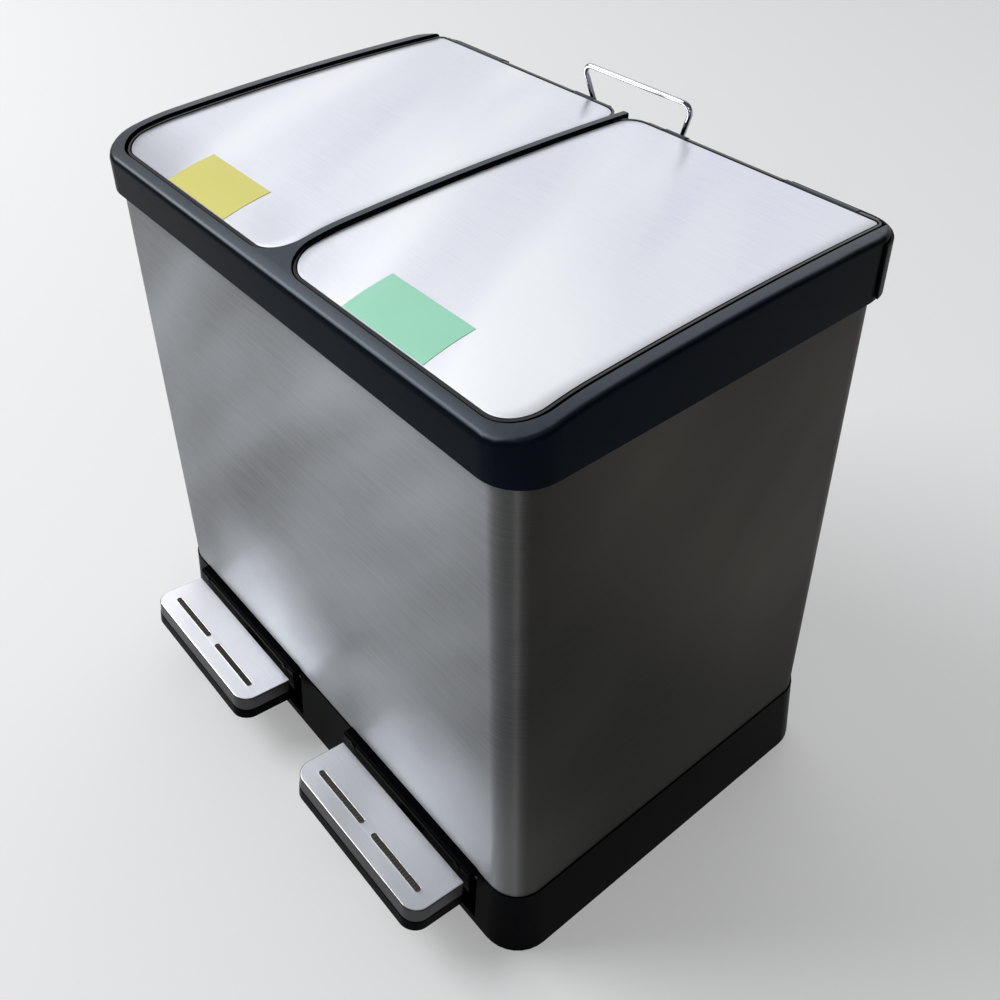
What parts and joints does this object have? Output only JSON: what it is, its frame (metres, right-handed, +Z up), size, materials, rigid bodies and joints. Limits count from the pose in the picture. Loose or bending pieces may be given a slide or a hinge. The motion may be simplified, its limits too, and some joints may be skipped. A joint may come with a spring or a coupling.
{
  "type": "double pedal recycling bin",
  "caption": "Free-standing brushed steel recycling bin with paired inner buckets, arched soft-edged lids opened by pedals through levers and rods, and a wire carry handle.",
  "frame": {"origin": "on the floor, under the middle of the steel body's plan", "axes": "+Z up, -Y towards the side with the pedals, +X to the right of a person standing at the pedals"},
  "size_m": [0.516, 0.4125, 0.536],
  "materials": {
    "black_gloss_plastic": "moulded base with a soft gloss",
    "satin_black_plastic": "satin moulded rim and lid frames",
    "black_plastic": "plain moulded inner and rear parts",
    "grey_plastic": "moulded inner buckets",
    "brushed_steel": "sheet with a fine brushed grain, wiped clean",
    "lid_steel": "brushed sheet, bright from above",
    "pedal_steel": "pressed and brushed pedal covers",
    "polished_wire": "polished round wire",
    "plated_steel": "zinc plated levers, rods, pins and screws",
    "black_rubber": "floor pads and lid stops",
    "grip_rubber": "ribbed pedal grip",
    "yellow_label": "plain colour-coding film",
    "green_label": "plain colour-coding film"
  },
  "bodies": {
    "body": {"base_skirt": "black_gloss_plastic", "floor_pan": "black_plastic", "rubber_feet": "black_rubber", "base_screws": "plated_steel", "bucket_deck": "black_plastic", "steel_body": "brushed_steel", "top_rim": "satin_black_plastic", "rear_cover": "black_plastic", "cover_screws": "plated_steel", "lid_bumpers": "black_rubber", "left_hinge_pin": "plated_steel", "right_hinge_pin": "plated_steel", "left_pedal_axle": "plated_steel", "right_pedal_axle": "plated_steel", "axle_clips": "plated_steel", "left_rod_guides": "black_plastic", "right_rod_guides": "black_plastic", "guide_rivets": "plated_steel", "handle_brackets": "black_plastic", "bracket_screws": "plated_steel", "left_bucket": "grey_plastic", "right_bucket": "grey_plastic"},
    "left_lid": {"left_lid_frame": "satin_black_plastic", "left_lid_panel": "lid_steel", "left_lid_label": "yellow_label", "left_lid_crank": "plated_steel", "left_crank_screws": "plated_steel"},
    "left_pedal": {"left_pedal_lever": "plated_steel", "left_pedal_tray": "black_plastic", "left_pedal_cover": "pedal_steel", "left_pedal_grip": "grip_rubber", "left_pedal_screws": "plated_steel"},
    "left_rod": {"left_push_rod": "plated_steel"},
    "right_lid": {"right_lid_frame": "satin_black_plastic", "right_lid_panel": "lid_steel", "right_lid_label": "green_label", "right_lid_crank": "plated_steel", "right_crank_screws": "plated_steel"},
    "right_pedal": {"right_pedal_lever": "plated_steel", "right_pedal_tray": "black_plastic", "right_pedal_cover": "pedal_steel", "right_pedal_grip": "grip_rubber", "right_pedal_screws": "plated_steel"},
    "right_rod": {"right_push_rod": "plated_steel"},
    "handle": {"carry_handle": "polished_wire"}
  },
  "joints": [
    {"name": "left_lid_hinge", "type": "hinge", "parent": "body", "child": "left_lid", "pos_m": [-0.1245, 0.166, 0.506], "axis": [-1, 0, 0], "range_deg": [0, 80]},
    {"name": "left_pedal_pivot", "type": "hinge", "parent": "body", "child": "left_pedal", "pos_m": [-0.1245, -0.02, 0.03], "axis": [1, 0, 0], "range_deg": [0, 7]},
    {"name": "left_rod_slide", "type": "slide", "parent": "body", "child": "left_rod", "axis": [0, 0, 1], "range_m": [0, 0.02097]},
    {"name": "right_lid_hinge", "type": "hinge", "parent": "body", "child": "right_lid", "pos_m": [0.1245, 0.166, 0.506], "axis": [-1, 0, 0], "range_deg": [0, 80]},
    {"name": "right_pedal_pivot", "type": "hinge", "parent": "body", "child": "right_pedal", "pos_m": [0.1245, -0.02, 0.03], "axis": [1, 0, 0], "range_deg": [0, 7]},
    {"name": "right_rod_slide", "type": "slide", "parent": "body", "child": "right_rod", "axis": [0, 0, 1], "range_m": [0, 0.02097]},
    {"name": "handle_pivot", "type": "hinge", "parent": "body", "child": "handle", "pos_m": [0, 0.17805, 0.482], "axis": [-1, 0, 0], "range_deg": [0, 185]}
  ],
  "couplings": [
    {"joint": "left_pedal_pivot", "follows": "left_lid_hinge", "ratio": 0.0875},
    {"joint": "left_rod_slide", "follows": "left_lid_hinge", "m_per_rad": 0.014981},
    {"joint": "right_pedal_pivot", "follows": "right_lid_hinge", "ratio": 0.0875},
    {"joint": "right_rod_slide", "follows": "right_lid_hinge", "m_per_rad": 0.014981}
  ]
}
